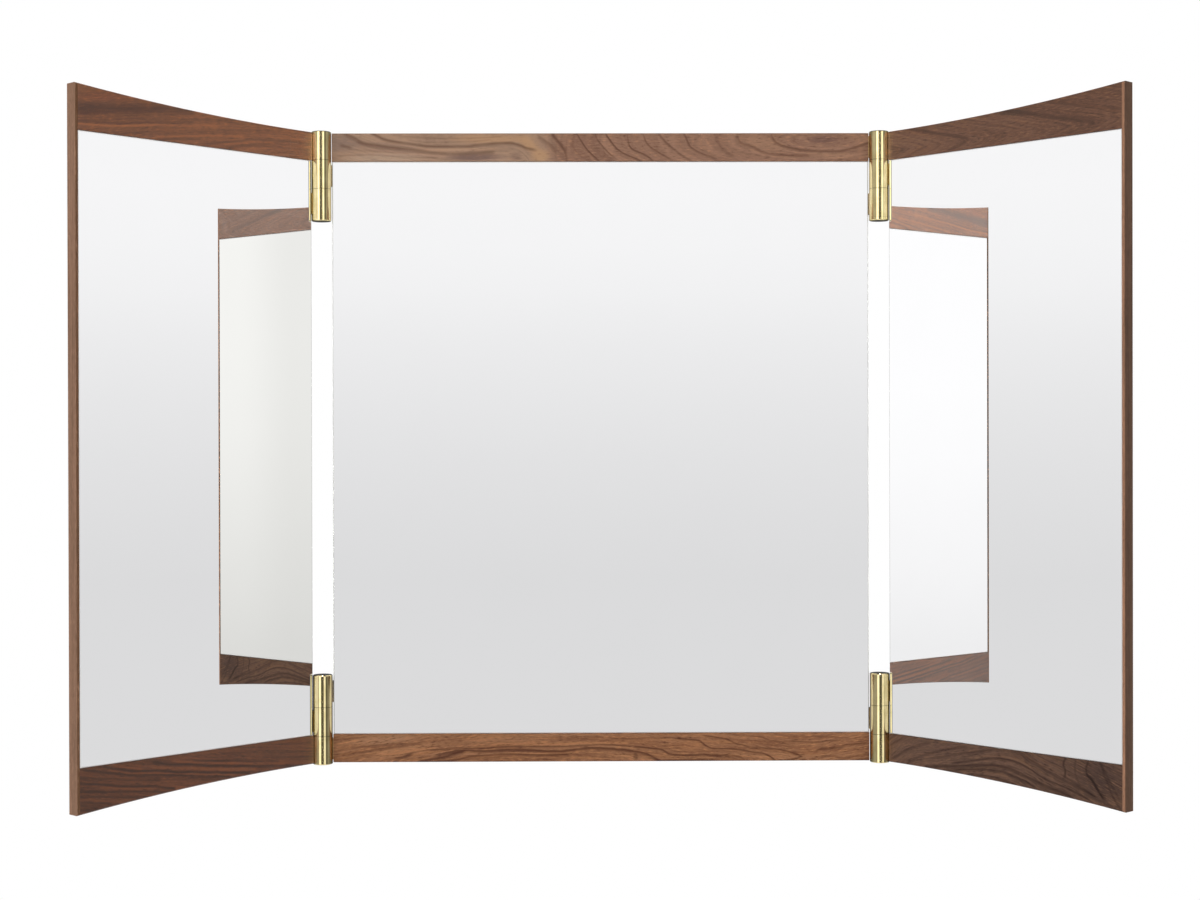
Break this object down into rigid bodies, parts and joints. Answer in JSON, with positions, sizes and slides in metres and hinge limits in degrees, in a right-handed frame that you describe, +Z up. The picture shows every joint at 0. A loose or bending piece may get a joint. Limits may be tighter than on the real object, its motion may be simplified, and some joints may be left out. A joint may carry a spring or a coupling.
{
  "type": "vanity mirror",
  "caption": "Wall-hung folding vanity mirror: a straight centre panel with hinged side wings, walnut rails that sweep out towards the ends, and brass barrel hinges.",
  "frame": {"origin": "middle of the centre panel's back face, which lies on the wall", "axes": "+X to the viewer's right along the wall, +Y into the wall, +Z up"},
  "size_m": [1.0213, 0.2356, 0.7],
  "materials": {
    "walnut": "oiled walnut",
    "walnut_board": "walnut-veneered board",
    "mirror": "silvered float glass",
    "brass": "polished",
    "steel": "zinc plated"
  },
  "bodies": {
    "centre_panel": {"centre_backboard": "walnut_board", "centre_glass": "mirror", "centre_top_rail": "walnut", "centre_bottom_rail": "walnut", "left_hanger_block": "walnut_board", "right_hanger_block": "walnut_board", "left_hanger": "steel", "right_hanger": "steel", "hanger_screws": "steel", "upper_left_middle_knuckle": "brass", "lower_left_outer_knuckle": "brass", "lower_left_inner_knuckle": "brass", "lower_left_pin": "brass", "upper_right_outer_knuckle": "brass", "upper_right_inner_knuckle": "brass", "upper_right_pin": "brass", "lower_right_middle_knuckle": "brass"},
    "left_wing": {"left_wing_backboard": "walnut_board", "left_wing_glass": "mirror", "left_wing_top_rail": "walnut", "left_wing_bottom_rail": "walnut", "left_wing_edge_strip": "walnut", "upper_left_outer_knuckle": "brass", "upper_left_inner_knuckle": "brass", "upper_left_pin": "brass", "lower_left_middle_knuckle": "brass"},
    "right_wing": {"right_wing_backboard": "walnut_board", "right_wing_glass": "mirror", "right_wing_top_rail": "walnut", "right_wing_bottom_rail": "walnut", "right_wing_edge_strip": "walnut", "lower_right_outer_knuckle": "brass", "lower_right_inner_knuckle": "brass", "lower_right_pin": "brass", "upper_right_middle_knuckle": "brass"}
  },
  "joints": [
    {"name": "left_wing_hinge", "type": "hinge", "parent": "centre_panel", "child": "left_wing", "pos_m": [-0.2968, -0.02, 0], "axis": [0, 0, 1], "range_deg": [-46.4, 133.6]},
    {"name": "right_wing_hinge", "type": "hinge", "parent": "centre_panel", "child": "right_wing", "pos_m": [0.2968, -0.02, 0], "axis": [0, 0, -1], "range_deg": [-47.4, 132.6]}
  ]
}
